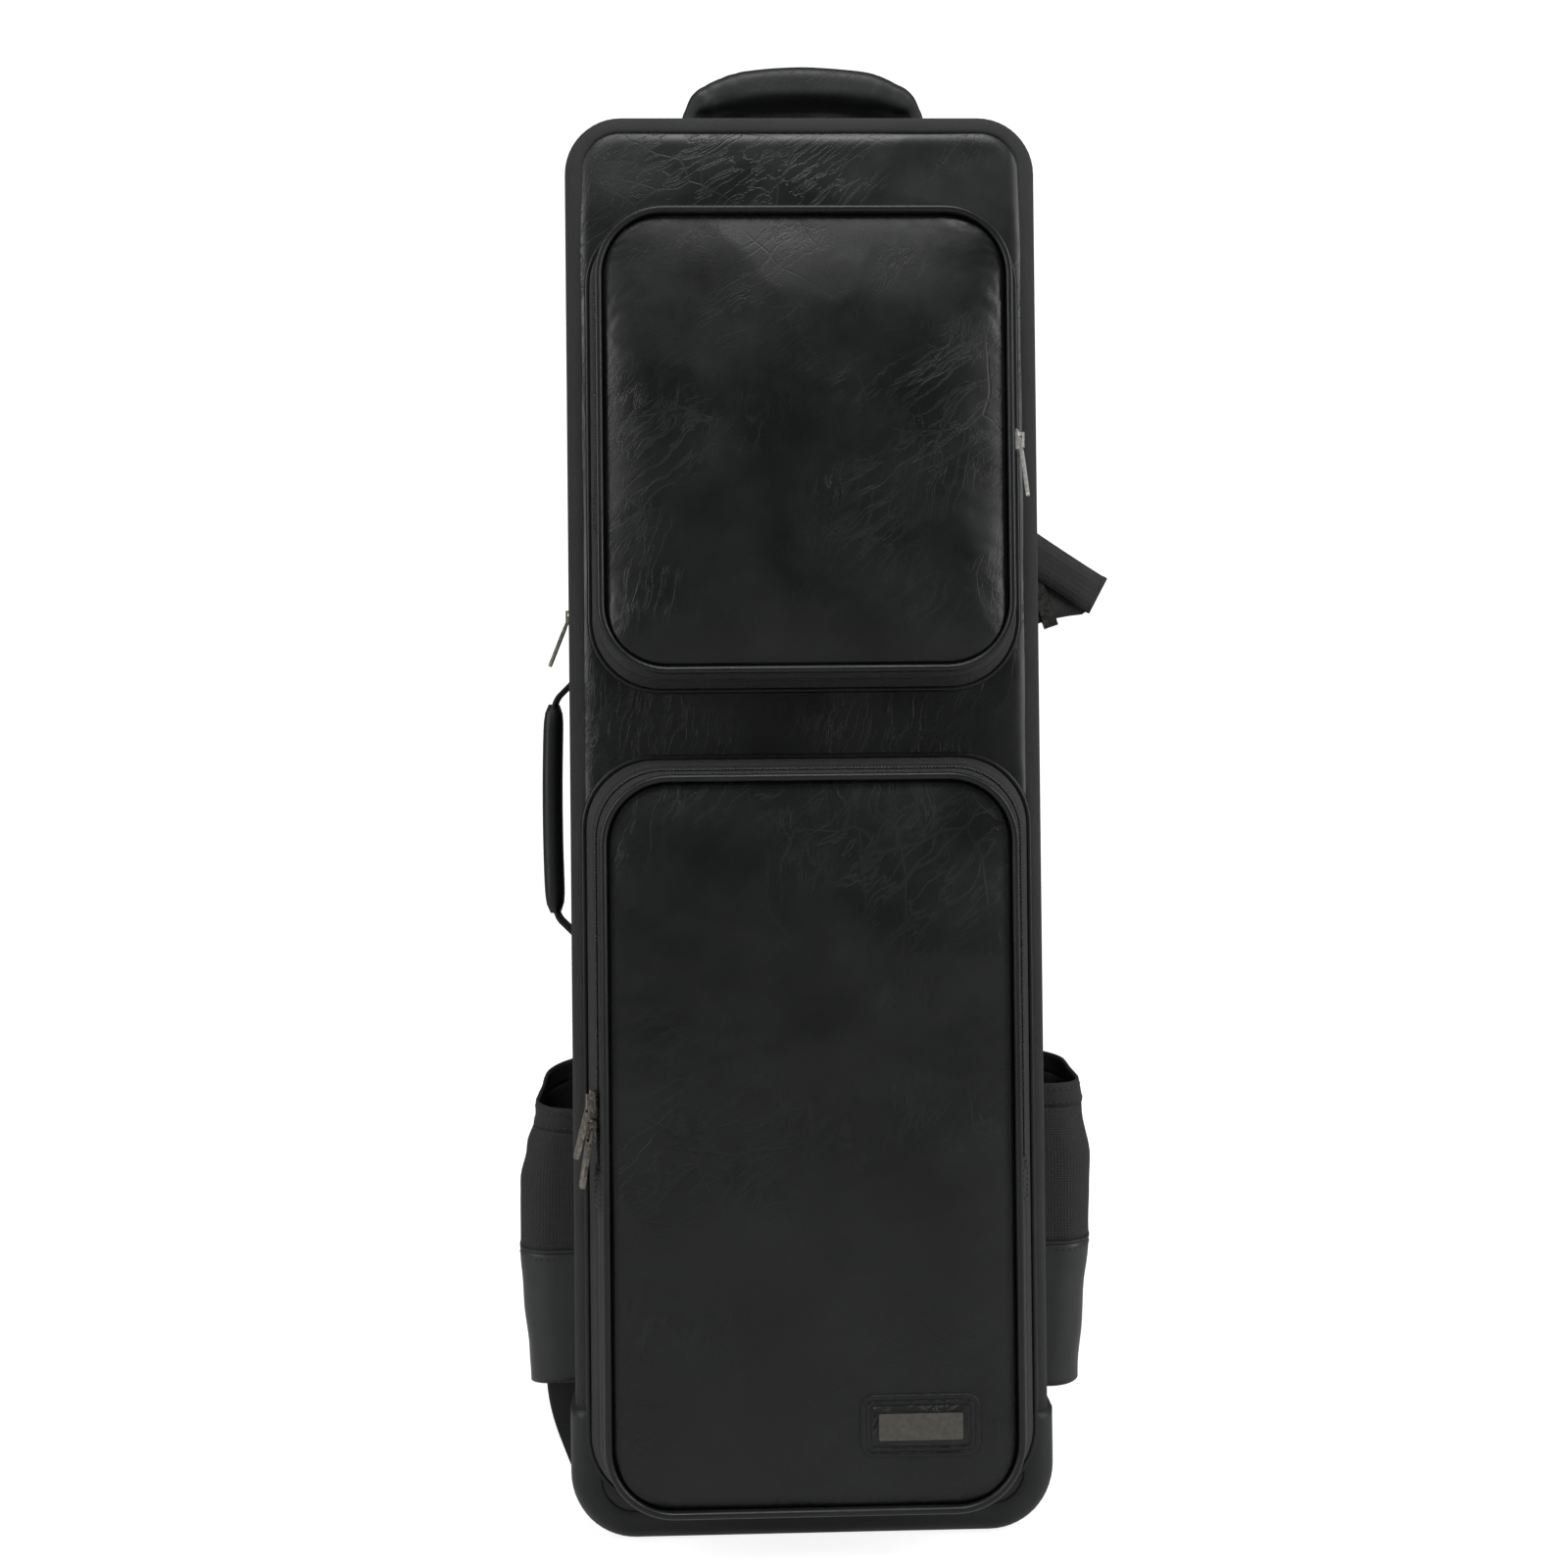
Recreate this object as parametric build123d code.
from build123d import *

import os
from math import atan2, cos, degrees, hypot, radians, sin, tan

# Instrument gig bag: an oblong padded case with a side-hinged lid, two front pockets and straps.
# Millimetres. X runs across the bag, Y from its front to its back and Z up. The origin is the
# middle of the flat sole that the bag stands on. A foam tray and a foam lid are wrapped in nylon
# and leather, closed by a zip round three sides, and joined by a cloth hinge on the fourth.

os.makedirs("parts", exist_ok=True)

# The padded case
case_width = 290
case_height = 867
lid_depth = 60
tray_depth = 116
low_corner = 37
high_corner = 35
edge_radius = 10
border_width = 10
split_gap = 1
cut_over = 5

# Layers of the case, from the outside in
cover_thickness = 1.5
foam_thickness = 10
lining_thickness = 1.5
fit_gap = 0.3

# Boot: the tough shoe round the foot of the case
boot_thickness = 3
boot_height = 73.5
boot_lip = 7

# Zips: a flat tape with the closed teeth as a low ridge along its middle
tape_width = 11
tape_thickness = 1
chain_width = 6
chain_height = 0.9
teeth_gap = 0.5
main_zip_short = 40

# Cloth hinge down the right side of the case
hinge_width = 22
hinge_thickness = 1.2
hinge_end_gap = 12

# Front pockets, shared sizes
pocket_depth = 45
gusset_thickness = 1.6
panel_thickness = 4
base_corner = 42
panel_corner = 36
zip_from_panel = 20
pocket_tape_width = 6.5
fold_gap = 0.6
piping_radius = 2.8

# Upper pocket
upper_base_width = 260
upper_base_low = 517
upper_base_high = 805
upper_panel_width = 236
upper_panel_low = 530
upper_panel_high = 794.5
upper_fold = 640

# Lower pocket
lower_base_width = case_width - 2 * border_width
lower_base_low = 24
lower_base_high = 475
lower_panel_width = 236
lower_panel_low = 38.5
lower_panel_high = 461.5
lower_fold = 236

# Badge: a leather patch with a bare metal plate
badge_middle_x = 61
badge_middle_z = 86
badge_width = 70
badge_height = 36
badge_corner = 8
badge_thickness = 2.5
plate_width = 49
plate_height = 15.5
plate_thickness = 1.2
plate_corner = 1

# Zip sliders and their pull tabs
slider_width = 9.4
slider_length = 12
slider_plate = 1.4
main_slider_lift = 0.3
pocket_slider_lift = 1.7
flange_thickness = 0.9
flange_gap = 0.3
flange_side_gap = 0.95
bail_width = 2.4
bail_length = 9
bail_height = 3.3
bail_slot_height = 2.1
bail_slot_length = 5.2
tab_bar_radius = 0.7
tab_ring_width = 8
tab_ring_wall = 1.4
tab_ring_length = 8
tab_width = 7.6
tab_length = 34
tab_thickness = 1.8
tab_corner = 2.4
main_slider_level = 566
upper_slider_level = 664
lower_slider_level = 273
lower_slider_pitch = 17
main_tab_tilt = 22
upper_tab_tilt = 7
lower_tab_tilts = (15, 9)

# Handles swing about their sewn ends
handle_swing = 40
patch_thickness = 1.6
handle_clearance = 0.4
top_handle_middle_y = 8
top_handle_width = 38
top_handle_span = 146
top_handle_rise = 61
top_handle_shoulder = 27
top_handle_run = 40
top_handle_thickness = 9
top_handle_bend = 46
top_handle_underside = 35
side_handle_middle_y = 20
side_handle_low = 372
side_handle_high = 511
side_handle_width = 25
side_handle_reach = 28
side_handle_thickness = 13
side_handle_shoulder = 16
webbing_thickness = 2.2
patch_length = 30

# Bottle pockets on the tray's side walls
bottle_front = -10
bottle_back = 80
bottle_low = 57.5
bottle_seam = 153
bottle_belly = 205
bottle_rim = 264
bottle_reach_low = 39
bottle_reach_seam = 46
bottle_reach_belly = 45
bottle_reach_rim = 36
bottle_corner = 22
bottle_wall = 1.8
bottle_edge_gap = 0.4

# Back panel
back_pad_width = 62
back_pad_inner = 12
back_pad_low = 178
back_pad_high = 560
back_pad_thickness = 8
back_pad_corner = 18

# Shoulder straps behind the case, hung from rings that slant outwards; directions are in degrees
# up from +X, and the right strap's slack webbing folds over beside the case
strap_x = 60
strap_drop = 156
strap_slant = 45
strap_webbing_width = 28
strap_layer = 4.4
route_steps = 10
route_share = 0.4
anchor_rise = 8
anchor_height = 50
anchor_width = 130
anchor_corner = 12
ring_wire = 2
ring_width = 46
ring_height = 26
ring_corner = 5
tab_loop_width = 30
tab_loop_height = 22
strap_loop_height = 10
loop_depth = 9.6
loop_bore_gap = 0.3
pad_x = 92
pad_width = 60
pad_thickness = 10
pad_length = 344
left_pad_low = 222
right_pad_low = 152
pad_corner = 20
pad_overlap = 22
tail_width = 25
tail_level = 40.5
ladder_width = 34
ladder_height = 24
ladder_thickness = 7
ladder_drop = 24
slide_width = 38
slide_height = 10
slide_thickness = 6
slot_gap = 0.9
slide_steps = 2
loop_reach = 80
loop_drop = 112
loop_in_way = -37
loop_out_way = 178
wing_thickness = 5
wing_middle_y = 15
wing_low = 6
wing_high = 57
left_wing_reach = 36
right_wing_reach = 12
wing_taper = 8
wing_tail_gap = 0.4

# Inside the tray
bolster_height = 160
bolster_depth = 74
bolster_trough = 92
saddle_low = 640
saddle_height = 60
saddle_depth = 70
saddle_trough = 44
hold_down_level = 570
hold_down_width = 38
hold_down_thickness = 2

# Places that follow from the sizes
base_level = boot_thickness
case_top = base_level + case_height
strap_level = case_top - strap_drop
anchor_low = strap_level + anchor_rise
anchor_high = anchor_low + anchor_height
loop_tip_level = strap_level - loop_drop
front_level = -(lid_depth + tray_depth) / 2
split_level = front_level + lid_depth
back_level = front_level + lid_depth + tray_depth
lid_back = split_level - split_gap / 2
tray_front = split_level + split_gap / 2
side_level = case_width / 2
panel_level = front_level - pocket_depth
zip_level = panel_level + zip_from_panel
wall_inset = cover_thickness + foam_thickness
lined_inset = wall_inset + lining_thickness


def rounded(width, low, high, low_radius, high_radius):
    """An upright outline, X across and Z up, with one radius at the low corners and one at the high."""
    sheet = Pos(0, (low + high) / 2) * Rectangle(width, high - low)
    sheet = fillet(sheet.vertices().group_by(Axis.Y)[0], low_radius)
    return fillet(sheet.vertices().group_by(Axis.Y)[-1], high_radius)


def upright(sheet, level):
    """The outline stood up at Y = level, facing the front."""
    return Plane.XZ.offset(-level) * sheet


def slab(sheet, front, back):
    """A plate with that upright outline, from Y = front to Y = back."""
    return extrude(upright(sheet, back), amount=back - front)


def brick(x_low, x_high, y_low, y_high, z_low, z_high):
    """A plain block between those limits."""
    middle = Pos((x_low + x_high) / 2, (y_low + y_high) / 2, (z_low + z_high) / 2)
    return middle * Box(x_high - x_low, y_high - y_low, z_high - z_low)


def save(name, *solids):
    """Writes one piece, or one group of like pieces, under its node's name."""
    shape = solids[0] if len(solids) == 1 else Compound(children=list(solids))
    export_step(shape, f"parts/{name}.step")


# The case: lid and tray


def case_outline(inset):
    """The outline of the case, drawn in by the inset, or out by a negative one."""
    return rounded(
        case_width - 2 * inset,
        base_level + inset,
        case_top - inset,
        low_corner - inset,
        high_corner - inset,
    )


def lid_block(inset):
    """The lid as a full block with its front edge rounded."""
    block = slab(case_outline(inset), front_level + inset, lid_back)
    return fillet(block.faces().sort_by(Axis.Y)[0].edges(), edge_radius - inset)


def tray_block(inset):
    """The tray as a full block with its back edge rounded."""
    block = slab(case_outline(inset), tray_front, back_level - inset)
    return fillet(block.faces().sort_by(Axis.Y)[-1].edges(), edge_radius - inset)


def hollow(inset, front, back):
    """The space inside the case at that inset, from Y = front to Y = back."""
    return slab(case_outline(inset), front, back)


lid_outside = lid_block(0)
lid_inside_cover = lid_block(cover_thickness)
lid_skin = lid_outside - lid_inside_cover
lid_face = hollow(border_width, front_level - cut_over, front_level + cover_thickness)
save("lid_front_cover", lid_skin & lid_face)
save("lid_side_cover", lid_skin - lid_face)
save(
    "lid_foam_core",
    lid_inside_cover - hollow(wall_inset, front_level + wall_inset, lid_back + cut_over),
)
save(
    "lid_lining",
    hollow(wall_inset, front_level + wall_inset, lid_back)
    - hollow(lined_inset, front_level + lined_inset, lid_back + cut_over),
)

tray_outside = tray_block(0)
tray_inside_cover = tray_block(cover_thickness)
tray_skin = tray_outside - tray_inside_cover
tray_face = hollow(border_width, back_level - cover_thickness, back_level + cut_over)
save("back_cover", tray_skin & tray_face)
save("tray_side_cover", tray_skin - tray_face)
save(
    "tray_foam_core",
    tray_inside_cover - hollow(wall_inset, tray_front - cut_over, back_level - wall_inset),
)
save(
    "tray_lining",
    hollow(wall_inset, tray_front, back_level - wall_inset)
    - hollow(lined_inset, tray_front - cut_over, back_level - lined_inset),
)


# The boot, in two halves, with the zip's channel between them

boot_zone = brick(
    -case_width, case_width, 2 * front_level, 2 * back_level, -cut_over, boot_height
)
zip_channel = brick(
    -case_width,
    case_width,
    split_level - tape_width - fit_gap,
    split_level + tape_width + fit_gap,
    -cut_over,
    boot_height + cut_over,
)
lid_boot = (lid_block(-boot_thickness) - lid_outside) & boot_zone
lid_boot -= hollow(boot_lip, front_level - boot_thickness - cut_over, front_level + cut_over)
save("lid_boot", lid_boot - zip_channel)
tray_boot = (tray_block(-boot_thickness) - tray_outside) & boot_zone
tray_boot -= hollow(boot_lip, back_level - cut_over, back_level + boot_thickness + cut_over)
save("tray_boot", tray_boot - zip_channel)


# The main zip round three sides, and the cloth hinge on the fourth


def case_band(inner, outer, front, back):
    """A band round the case between two distances out from its wall."""
    return slab(case_outline(-outer), front, back) - slab(case_outline(-inner), front, back)


hinge_side = brick(
    side_level - main_zip_short,
    side_level + case_width,
    front_level,
    back_level,
    -case_height,
    2 * case_height,
)


def main_zip(way):
    """Half of the main zip: way -1 is the lid's half and way 1 the tray's."""
    levels = [split_level + way * d for d in (teeth_gap / 2, chain_width / 2, tape_width)]
    tape_low, tape_high = sorted((levels[0], levels[2]))
    chain_low, chain_high = sorted((levels[0], levels[1]))
    tape = case_band(0, tape_thickness, tape_low, tape_high)
    chain = case_band(tape_thickness, tape_thickness + chain_height, chain_low, chain_high)
    return tape + chain - hinge_side


save("main_zip_lid", main_zip(-1))
save("main_zip_tray", main_zip(1))
save(
    "hinge_band",
    brick(
        side_level,
        side_level + hinge_thickness,
        split_level - hinge_width / 2,
        split_level + hinge_width / 2,
        base_level + low_corner + hinge_end_gap,
        case_top - high_corner - hinge_end_gap,
    ),
)


# Zip sliders. In a slider's own frame X points away from the zip, Z runs up it and Y across it


def slider(lift, flange_way):
    """A slider body over closed teeth: a plate, one flange down beside the fixed teeth, and a bail."""
    plate_top = lift + slider_plate
    body = brick(
        lift, plate_top, -slider_width / 2, slider_width / 2, -slider_length / 2, slider_length / 2
    )
    flange_inner = chain_width / 2 + flange_side_gap
    edges = sorted((flange_way * flange_inner, flange_way * (flange_inner + flange_thickness)))
    body += brick(
        flange_gap - chain_height, plate_top, edges[0], edges[1], -slider_length / 2, slider_length / 2
    )
    bail = brick(
        plate_top,
        plate_top + bail_height,
        -bail_width / 2,
        bail_width / 2,
        -bail_length / 2,
        bail_length / 2,
    )
    bail -= brick(
        plate_top,
        plate_top + bail_slot_height,
        -bail_width,
        bail_width,
        -bail_slot_length / 2,
        bail_slot_length / 2,
    )
    return body + bail


def pull_tab(lift, tilt):
    """A pull tab hanging from the slider's bail, tipped outwards by the tilt in degrees."""
    inner_half = tab_ring_width / 2 - tab_ring_wall
    tab = Rot(90, 0, 0) * Cylinder(tab_bar_radius, tab_ring_width)
    for way in (-1, 1):
        edges = sorted((way * inner_half, way * tab_ring_width / 2))
        tab += brick(
            -tab_bar_radius, tab_bar_radius, edges[0], edges[1], -tab_ring_length, 0
        )
    blade_top = tab_ring_wall - tab_ring_length
    blade = Pos((tab_ring_wall - tab_length) / 2 - tab_ring_length / 2, 0) * RectangleRounded(
        tab_length - tab_ring_length + tab_ring_wall, tab_width, tab_corner
    )
    standing = Plane((-tab_thickness / 2, 0, 0), x_dir=(0, 0, 1), z_dir=(1, 0, 0))
    tab += extrude(standing * blade, amount=tab_thickness)
    tab -= brick(
        -tab_thickness, tab_thickness, -inner_half, inner_half, blade_top, -tab_bar_radius
    )
    axis_offset = lift + slider_plate + bail_slot_height / 2
    return Pos(axis_offset, 0, 0) * Rot(0, -tilt, 0) * tab


def place_slider(point, out, lift, flange_way, tilt):
    """The slider and its tab at that point on the teeth, facing the unit direction out."""
    frame = Plane(point, x_dir=out, z_dir=(0, 0, 1))
    return frame * slider(lift, flange_way), frame * pull_tab(lift, tilt)


main_slider_place = (-side_level - tape_thickness - chain_height, split_level, main_slider_level)
slider_body, slider_tab = place_slider(
    main_slider_place, (-1, 0, 0), main_slider_lift, -1, main_tab_tilt
)
save("main_slider", slider_body)
save("main_pull_tab", slider_tab)


# Front pockets: a sloping gusset, a padded panel whose upper half is a flap, piping and a zip


def pocket_form(sizes, grow, front, back):
    """The pocket's sloping form as a full block, drawn out by grow, between two Y levels."""
    base_width, base_low, base_high, width, low, high = sizes
    base = rounded(
        base_width + 2 * grow,
        base_low - grow,
        base_high + grow,
        base_corner + grow,
        base_corner + grow,
    )
    panel = rounded(
        width + 2 * grow, low - grow, high + grow, panel_corner + grow, panel_corner + grow
    )
    form = loft([upright(base, front_level), upright(panel, panel_level)])
    if front > panel_level or back < front_level:
        form &= brick(-case_width, case_width, front, back, -case_height, 2 * case_height)
    return form


def pocket(name, sizes, fold):
    """Writes one front pocket and its flap, and gives the fixed part of its piping."""
    whole = pocket_form(sizes, 0, panel_level, front_level)
    inside = pocket_form(sizes, -gusset_thickness, panel_level, front_level)
    ring = whole - inside
    panel = inside & slab(
        rounded(
            case_width, base_level, case_top, low_corner, high_corner
        ),
        panel_level,
        panel_level + panel_thickness,
    )
    above = brick(
        -case_width,
        case_width,
        panel_level - cut_over,
        zip_level,
        fold - fold_gap / 2,
        case_top + cut_over,
    )
    ahead = brick(
        -case_width,
        case_width,
        panel_level - cut_over,
        zip_level - teeth_gap / 2,
        fold + fold_gap / 2,
        case_top + cut_over,
    )
    save(f"{name}_pocket_gusset", ring - above)
    save(f"{name}_pocket_panel", panel - above)
    save(f"{name}_flap_strip", ring & ahead)
    save(f"{name}_flap_panel", panel & ahead)
    over_fold = brick(
        -case_width,
        case_width,
        2 * panel_level,
        front_level,
        fold + fold_gap / 2,
        case_top + cut_over,
    )
    for node, way in ((f"{name}_pocket_zip", 1), (f"{name}_flap_zip", -1)):
        tape_low, tape_high = sorted(
            (zip_level + way * teeth_gap / 2, zip_level + way * pocket_tape_width)
        )
        chain_low, chain_high = sorted(
            (zip_level + way * teeth_gap / 2, zip_level + way * chain_width / 2)
        )
        tape = pocket_form(sizes, tape_thickness, tape_low, tape_high)
        tape -= pocket_form(sizes, 0, panel_level, front_level)
        chain = pocket_form(sizes, tape_thickness + chain_height, chain_low, chain_high)
        chain -= pocket_form(sizes, tape_thickness, panel_level, front_level)
        save(node, (tape + chain) & over_fold)
    width, low, high = sizes[3:]
    edge = upright(rounded(width, low, high, panel_corner, panel_corner), panel_level).face()
    bead = sweep(
        Plane((0, panel_level, low), x_dir=(0, 1, 0), z_dir=(1, 0, 0)) * Circle(piping_radius),
        path=edge.outer_wire(),
    )
    bead -= whole
    save(f"{name}_flap_piping", bead & over_fold)
    under_fold = brick(
        -case_width, case_width, 2 * panel_level, front_level, 0, fold - fold_gap / 2
    )
    return bead & under_fold


upper_sizes = (
    upper_base_width,
    upper_base_low,
    upper_base_high,
    upper_panel_width,
    upper_panel_low,
    upper_panel_high,
)
lower_sizes = (
    lower_base_width,
    lower_base_low,
    lower_base_high,
    lower_panel_width,
    lower_panel_low,
    lower_panel_high,
)
save(
    "pocket_piping",
    pocket("upper", upper_sizes, upper_fold),
    pocket("lower", lower_sizes, lower_fold),
)


def gusset_place(sizes, side, level):
    """A point on the teeth at the gusset's side, -1 left or 1 right, and the way that it faces."""
    base_half, panel_half = sizes[0] / 2, sizes[3] / 2
    slope = atan2(base_half - panel_half, pocket_depth)
    across = panel_half + (base_half - panel_half) * zip_from_panel / pocket_depth
    lift = tape_thickness + chain_height
    out = (side * cos(slope), -sin(slope), 0)
    point = (side * across + out[0] * lift, zip_level + out[1] * lift, level)
    return point, out


point, out = gusset_place(upper_sizes, 1, upper_slider_level)
slider_body, slider_tab = place_slider(point, out, pocket_slider_lift, 1, upper_tab_tilt)
save("upper_slider", slider_body)
save("upper_pull_tab", slider_tab)
for letter, step, tilt in zip("ab", (0, 1), lower_tab_tilts):
    level = lower_slider_level - step * lower_slider_pitch
    point, out = gusset_place(lower_sizes, -1, level)
    slider_body, slider_tab = place_slider(point, out, pocket_slider_lift, -1, tilt)
    save(f"lower_slider_{letter}", slider_body)
    save(f"lower_pull_tab_{letter}", slider_tab)


# The badge on the lower pocket

badge_at = Pos(badge_middle_x, badge_middle_z)
badge_sheet = badge_at * RectangleRounded(badge_width, badge_height, badge_corner)
plate_sheet = badge_at * RectangleRounded(plate_width, plate_height, plate_corner)
badge_front = panel_level - badge_thickness
save("badge_patch", slab(badge_sheet, badge_front, panel_level))
save("name_plate", slab(plate_sheet, badge_front - plate_thickness, badge_front))


# Handles


tan_swing = tan(radians(handle_swing))
top_wall = case_top + patch_thickness
top_half = top_handle_span / 2
top_bar_level = case_top + top_handle_rise - top_handle_thickness / 2
handle_line = FilletPolyline(
    (-top_half, top_handle_middle_y, top_wall),
    (-top_half, top_handle_middle_y, case_top + top_handle_shoulder),
    (-top_half + top_handle_run, top_handle_middle_y, top_bar_level),
    (top_half - top_handle_run, top_handle_middle_y, top_bar_level),
    (top_half, top_handle_middle_y, case_top + top_handle_shoulder),
    (top_half, top_handle_middle_y, top_wall),
    radius=top_handle_bend,
)
handle_start = Plane((-top_half, top_handle_middle_y, top_wall), x_dir=(1, 0, 0), z_dir=(0, 0, 1))
handle_bar = sweep(
    handle_start * Rectangle(top_handle_thickness, top_handle_width), path=handle_line
)
arch_inside = extrude(
    make_face([*handle_line.edges(), Edge.make_line(handle_line @ 1, handle_line @ 0)]),
    amount=top_handle_width / 2,
    both=True,
)
handle_bar += arch_inside & brick(
    -top_half,
    top_half,
    front_level,
    back_level,
    case_top + top_handle_underside,
    case_top + top_handle_rise,
)
top_swing_level = top_wall + top_handle_width / 2 * tan_swing + handle_clearance
end_zone = brick(-case_width, case_width, front_level, back_level, top_wall, top_swing_level)
save("top_handle_ends", handle_bar & end_zone)
save("top_handle_grip", handle_bar - end_zone)

side_wall = -side_level - patch_thickness
side_grip_x = -side_level - side_handle_reach + side_handle_thickness / 2
side_ends = (side_handle_low - side_handle_shoulder, side_handle_high + side_handle_shoulder)
webbing_line = FilletPolyline(
    (side_wall - webbing_thickness, side_handle_middle_y, side_ends[0]),
    (side_grip_x, side_handle_middle_y, side_handle_low),
    (side_grip_x, side_handle_middle_y, side_handle_high),
    (side_wall - webbing_thickness, side_handle_middle_y, side_ends[1]),
    radius=side_handle_shoulder / 2,
)
webbing_start = Plane(webbing_line @ 0, x_dir=(0, 1, 0), z_dir=webbing_line % 0)
webbing = sweep(
    webbing_start * Rectangle(side_handle_width, webbing_thickness), path=webbing_line
)
grip_sheet = Pos(side_grip_x, side_handle_middle_y) * RectangleRounded(
    side_handle_thickness, side_handle_width, side_handle_thickness / 2 - webbing_thickness
)
grip = Pos(0, 0, side_handle_low) * extrude(
    grip_sheet, amount=side_handle_high - side_handle_low
)
for level in side_ends:
    webbing += brick(
        side_wall - webbing_thickness,
        side_wall,
        side_handle_middle_y - side_handle_width / 2,
        side_handle_middle_y + side_handle_width / 2,
        level - patch_length / 2,
        level + patch_length / 2,
    )
webbing &= brick(
    -case_width, side_wall, front_level, back_level, side_ends[0] - patch_length, case_top
)
save("side_handle_webbing", webbing - grip)
save("side_handle_grip", grip)

patches = []
for way in (-1, 1):
    patches.append(
        brick(
            way * top_half - patch_length / 2,
            way * top_half + patch_length / 2,
            top_handle_middle_y - top_handle_width / 2,
            top_handle_middle_y + top_handle_width / 2,
            case_top,
            case_top + patch_thickness,
        )
    )
for level in side_ends:
    patches.append(
        brick(
            side_wall,
            -side_level,
            side_handle_middle_y - patch_length / 2,
            side_handle_middle_y + patch_length / 2,
            level - patch_length / 2,
            level + patch_length / 2,
        )
    )
save("handle_patches", *patches)


# Bottle pockets: leather below, net above, on both side walls


def bottle_form(inset, low, high):
    """The right-hand bottle pocket as a full block, drawn in by the inset, between two heights."""
    stations = (
        (bottle_low, bottle_reach_low),
        (bottle_seam, bottle_reach_seam),
        (bottle_belly, bottle_reach_belly),
        (bottle_rim, bottle_reach_rim),
    )
    sections = []
    for level, reach in stations:
        outer = side_level + reach - inset
        inner = side_level + bottle_edge_gap
        sheet = Pos((inner + outer) / 2, (bottle_front + bottle_back) / 2) * Rectangle(
            outer - inner, bottle_back - bottle_front - 2 * inset
        )
        sheet = fillet(sheet.vertices().group_by(Axis.X)[-1], bottle_corner - inset)
        sections.append(Pos(0, 0, level) * sheet)
    form = loft(sections, ruled=True)
    return form & brick(0, case_width, front_level, back_level, low, high)


bottle_outside = bottle_form(0, bottle_low, bottle_rim)
bottle_space = bottle_form(bottle_wall, bottle_low + bottle_wall, bottle_rim)
bottle_shell = bottle_outside - bottle_space
below_seam = brick(0, case_width, front_level, back_level, 0, bottle_seam)
over_boot = brick(
    0,
    side_level + boot_thickness + bottle_edge_gap,
    front_level,
    back_level,
    0,
    boot_height + bottle_edge_gap,
)
leather_part = (bottle_shell & below_seam) - over_boot
net_part = bottle_shell - below_seam
save("right_bottle_pocket", leather_part)
save("left_bottle_pocket", mirror(leather_part, Plane.YZ))
save("bottle_nets", net_part, mirror(net_part, Plane.YZ))


# Back pads and shoulder straps


def ribbon(points, width, front, back):
    """A flat strap of that width along points of (X, Z), from Y = front to Y = back."""
    left, right = [], []
    for n, (x, z) in enumerate(points):
        before, after = points[max(n - 1, 0)], points[min(n + 1, len(points) - 1)]
        run_x, run_z = after[0] - before[0], after[1] - before[1]
        length = hypot(run_x, run_z)
        shift_x, shift_z = -run_z / length * width / 2, run_x / length * width / 2
        left.append((x + shift_x, z + shift_z))
        right.append((x - shift_x, z - shift_z))
    return slab(make_face(Polyline(left + right[::-1], close=True)), front, back)


pads = []
for way in (-1, 1):
    middle = way * (back_pad_inner + back_pad_width / 2)
    sheet = rounded(back_pad_width, back_pad_low, back_pad_high, back_pad_corner, back_pad_corner)
    pads.append(Pos(middle, 0, 0) * slab(sheet, back_level, back_level + back_pad_thickness))
save("back_pads", *pads)

anchor_back = back_level + patch_thickness
ring_y = anchor_back + loop_depth / 2
strap_front = ring_y + ring_wire + loop_bore_gap
strap_back = strap_front + webbing_thickness
save(
    "strap_anchor_patch",
    slab(
        rounded(anchor_width, anchor_low, anchor_high, anchor_corner, anchor_corner),
        back_level,
        anchor_back,
    ),
)


def loop_block(bar_level, low, high, width, front, back):
    """A sewn webbing loop round a ring's bar, in the ring's own frame."""
    block = brick(-width / 2, width / 2, front, back, low, high)
    bore = Pos(0, ring_y, bar_level) * Rot(0, 90, 0) * Cylinder(ring_wire + loop_bore_gap, 2 * width)
    return block - bore


def route(start, start_way, end, end_way):
    """Points of (X, Z) on a smooth bend that leaves the start one way and comes to the end another."""
    reach = hypot(end[0] - start[0], end[1] - start[1]) * route_share
    start_turn, end_turn = radians(start_way), radians(end_way)
    corners = (
        start,
        (start[0] + reach * cos(start_turn), start[1] + reach * sin(start_turn)),
        (end[0] - reach * cos(end_turn), end[1] - reach * sin(end_turn)),
        end,
    )
    points = []
    for n in range(route_steps + 1):
        t = n / route_steps
        shares = ((1 - t) ** 3, 3 * t * (1 - t) ** 2, 3 * t**2 * (1 - t), t**3)
        points.append(tuple(sum(s * c[k] for s, c in zip(shares, corners)) for k in (0, 1)))
    return points


def keeper(points, step, front, width, height, thickness, strap_width):
    """A slide or buckle through which the strap runs at that step of its route."""
    (x, z), after = points[step], points[step + 1]
    turn = degrees(atan2(after[1] - z, after[0] - x))
    middle_y = front + webbing_thickness / 2
    block = Box(height, thickness, width)
    block -= Box(2 * height, webbing_thickness + 2 * slot_gap, strap_width + 2 * slot_gap)
    return Pos(x, middle_y, z) * Rot(0, -turn, 0) * block


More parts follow.
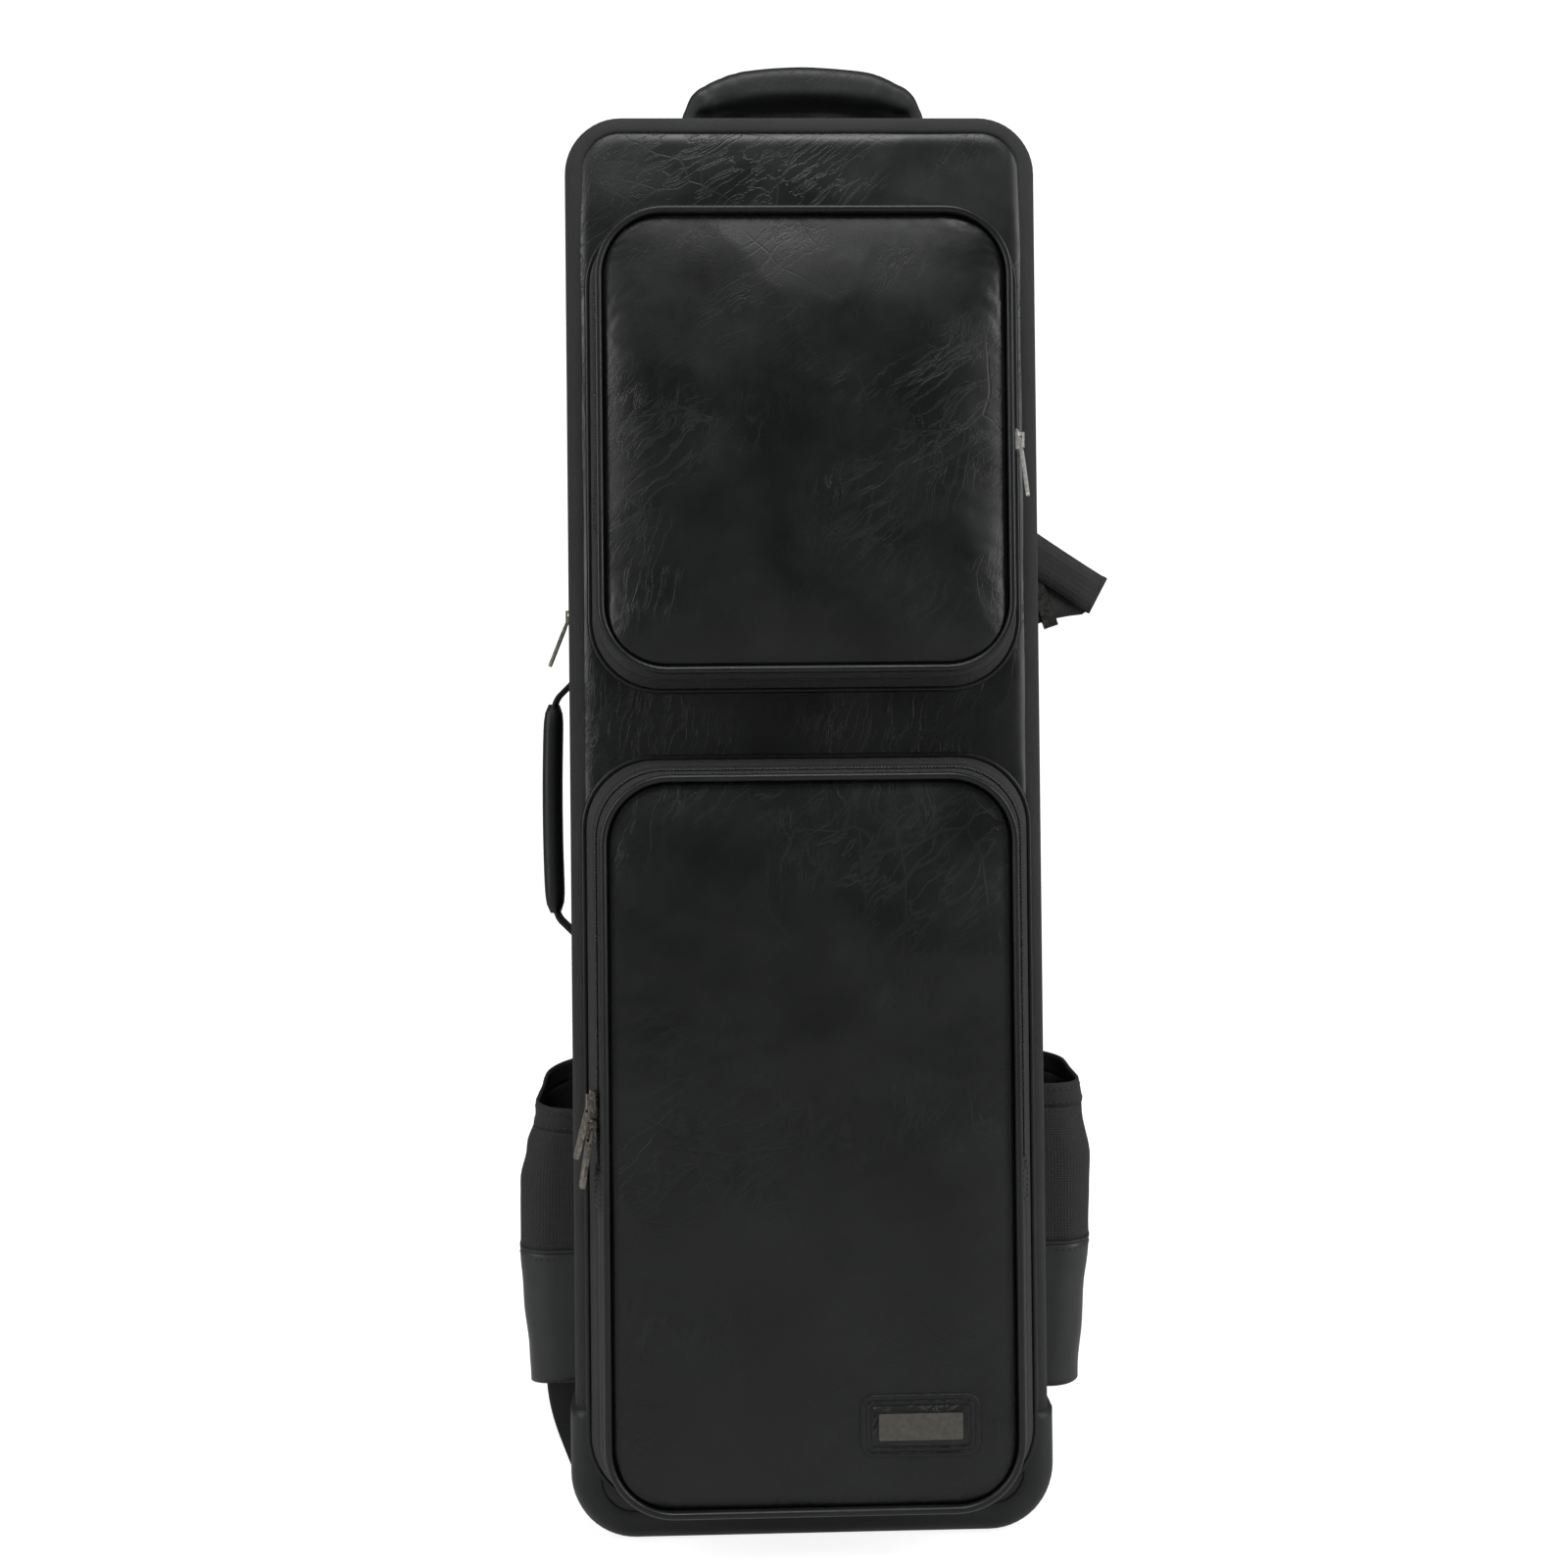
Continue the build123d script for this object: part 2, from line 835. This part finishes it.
rings, loops, uppers, pads, tails, ladders, slides, wings = [], [], [], [], [], [], [], []
loop_edge = ring_wire + loop_bore_gap + webbing_thickness
ring_sheet = rounded(ring_width, 0, ring_height, ring_corner, ring_corner)
ring_path = upright(ring_sheet, ring_y).face().outer_wire()
ring_start = Plane((0, ring_y, 0), x_dir=(0, 1, 0), z_dir=(1, 0, 0))
for way, pad_low, wing_reach in ((-1, left_pad_low, left_wing_reach), (1, right_pad_low, right_wing_reach)):
    seat = Pos(way * strap_x, 0, strap_level) * Rot(0, -way * strap_slant, 0)
    rings.append(seat * sweep(ring_start * Circle(ring_wire), path=ring_path))
    tab_low, tab_high = ring_height - loop_edge, ring_height + tab_loop_height
    loops.append(
        seat
        * loop_block(
            ring_height, tab_low, tab_high, tab_loop_width, anchor_back, anchor_back + loop_depth
        )
    )
    upper = seat * loop_block(
        0, -strap_loop_height, loop_edge, strap_webbing_width, ring_y - loop_edge, strap_back
    )
    start = (way * strap_x, strap_level)
    start_way = -90 + way * strap_slant
    pad_top = (way * pad_x, pad_low + pad_length - pad_overlap)
    front = strap_front
    if way < 0:
        points = route(start, start_way, pad_top, -90)
        upper += ribbon(points, strap_webbing_width, strap_front, strap_back)
    else:
        fold_way = radians((loop_in_way + loop_out_way) / 2)
        fold_length = strap_webbing_width / abs(sin(fold_way - radians(loop_in_way)))
        tip = (side_level + loop_reach, loop_tip_level)
        fold = (
            tip[0] - fold_length / 2 * cos(fold_way),
            tip[1] - fold_length / 2 * sin(fold_way),
        )
        front = strap_front + strap_layer
        first = route(start, start_way, fold, loop_in_way)
        points = route(fold, loop_out_way, pad_top, -90)
        inner = Pos(fold[0], 0, fold[1]) * Rot(0, -degrees(fold_way), 0)
        beyond = inner * brick(
            -case_height, case_height, front_level, 2 * back_level, -case_height, 0
        )
        edge = inner * brick(
            -case_height, case_height, strap_front, front + webbing_thickness, 0, webbing_thickness
        )
        run_in = (
            fold[0] + strap_webbing_width * cos(radians(loop_in_way)),
            fold[1] + strap_webbing_width * sin(radians(loop_in_way)),
        )
        run_out = (
            fold[0] - strap_webbing_width * cos(radians(loop_out_way)),
            fold[1] - strap_webbing_width * sin(radians(loop_out_way)),
        )
        in_leg = ribbon(first + [run_in], strap_webbing_width, strap_front, strap_back)
        out_leg = ribbon(
            [run_out] + points, strap_webbing_width, front, front + webbing_thickness
        )
        whole_leg = ribbon(
            [run_out] + points, strap_webbing_width, strap_front, front + webbing_thickness
        )
        upper += (in_leg - beyond) + (out_leg - beyond) + (whole_leg & edge)
    uppers.append(upper)
    slides.append(
        keeper(
            points, slide_steps, front, slide_width, slide_height, slide_thickness, strap_webbing_width
        )
    )
    pad_front = front + webbing_thickness + fit_gap
    pad_sheet = rounded(pad_width, pad_low, pad_low + pad_length, pad_corner, pad_corner)
    pads.append(Pos(way * pad_x, 0, 0) * slab(pad_sheet, pad_front, pad_front + pad_thickness))
    corner_x = side_level + wing_reach / 2
    ladder_level = pad_low - ladder_drop
    tail = [(way * pad_x, pad_low + pad_overlap), (way * pad_x, ladder_level)]
    tail += route(
        (way * pad_x, ladder_level - ladder_height),
        -90,
        (way * (corner_x + webbing_thickness / 2), tail_level),
        90 - way * 90,
    )
    tail_webbing = ribbon(tail, tail_width, front, front + webbing_thickness)
    wing_back = wing_middle_y + wing_thickness / 2
    legs = sorted((way * (corner_x - webbing_thickness / 2), way * (corner_x + webbing_thickness / 2)))
    tail_webbing += brick(
        legs[0],
        legs[1],
        wing_back + wing_tail_gap,
        front + webbing_thickness,
        tail_level - tail_width / 2,
        tail_level + tail_width / 2,
    )
    tails.append(tail_webbing)
    ladders.append(
        keeper(tail, 1, front, ladder_width, ladder_height, ladder_thickness, tail_width)
    )
    outline = [
        (0, wing_low),
        (way * (side_level + wing_reach - wing_taper), wing_low),
        (way * (side_level + wing_reach), wing_high),
        (0, wing_high),
    ]
    wing = slab(make_face(Polyline(outline, close=True)), wing_middle_y - wing_thickness / 2, wing_back)
    wings.append(wing - hollow(-boot_thickness, front_level, back_level))
save("d_rings", *rings)
save("strap_loops", *loops)
save("upper_strap_webbing", *uppers)
save("shoulder_pads", *pads)
save("lower_strap_webbing", *tails)
save("ladder_locks", *ladders)
save("strap_slides", *slides)
save("strap_wings", *wings)


# Inside the tray: two padded cradles with a trough, and a strap that holds the instrument down

tray_floor = back_level - lined_inset


def cradle(low, high, depth, trough):
    """A padded block across the tray with a round-bottomed trough along it."""
    block = hollow(lined_inset + fit_gap, tray_floor - depth, tray_floor)
    block &= brick(-case_width, case_width, front_level, back_level, low, high)
    bed_level = tray_floor - depth
    groove = Pos(0, bed_level, (low + high) / 2) * Cylinder(trough / 2, 2 * (high - low))
    return block - groove


save("body_cradle", cradle(base_level + lined_inset, bolster_height, bolster_depth, bolster_trough))
save("neck_cradle", cradle(saddle_low, saddle_low + saddle_height, saddle_depth, saddle_trough))
strap_front_level = tray_floor - bolster_depth - hold_down_thickness
inner_side = side_level - lined_inset - fit_gap
hold_low = hold_down_level - hold_down_width / 2
hold_high = hold_down_level + hold_down_width / 2
hold_down = brick(
    -inner_side,
    inner_side,
    strap_front_level,
    strap_front_level + hold_down_thickness,
    hold_low,
    hold_high,
)
for way in (-1, 1):
    edges = sorted((way * inner_side, way * (inner_side - hold_down_thickness)))
    hold_down += brick(
        edges[0],
        edges[1],
        strap_front_level,
        strap_front_level + hold_down_width,
        hold_low,
        hold_high,
    )
save("hold_down_strap", hold_down)
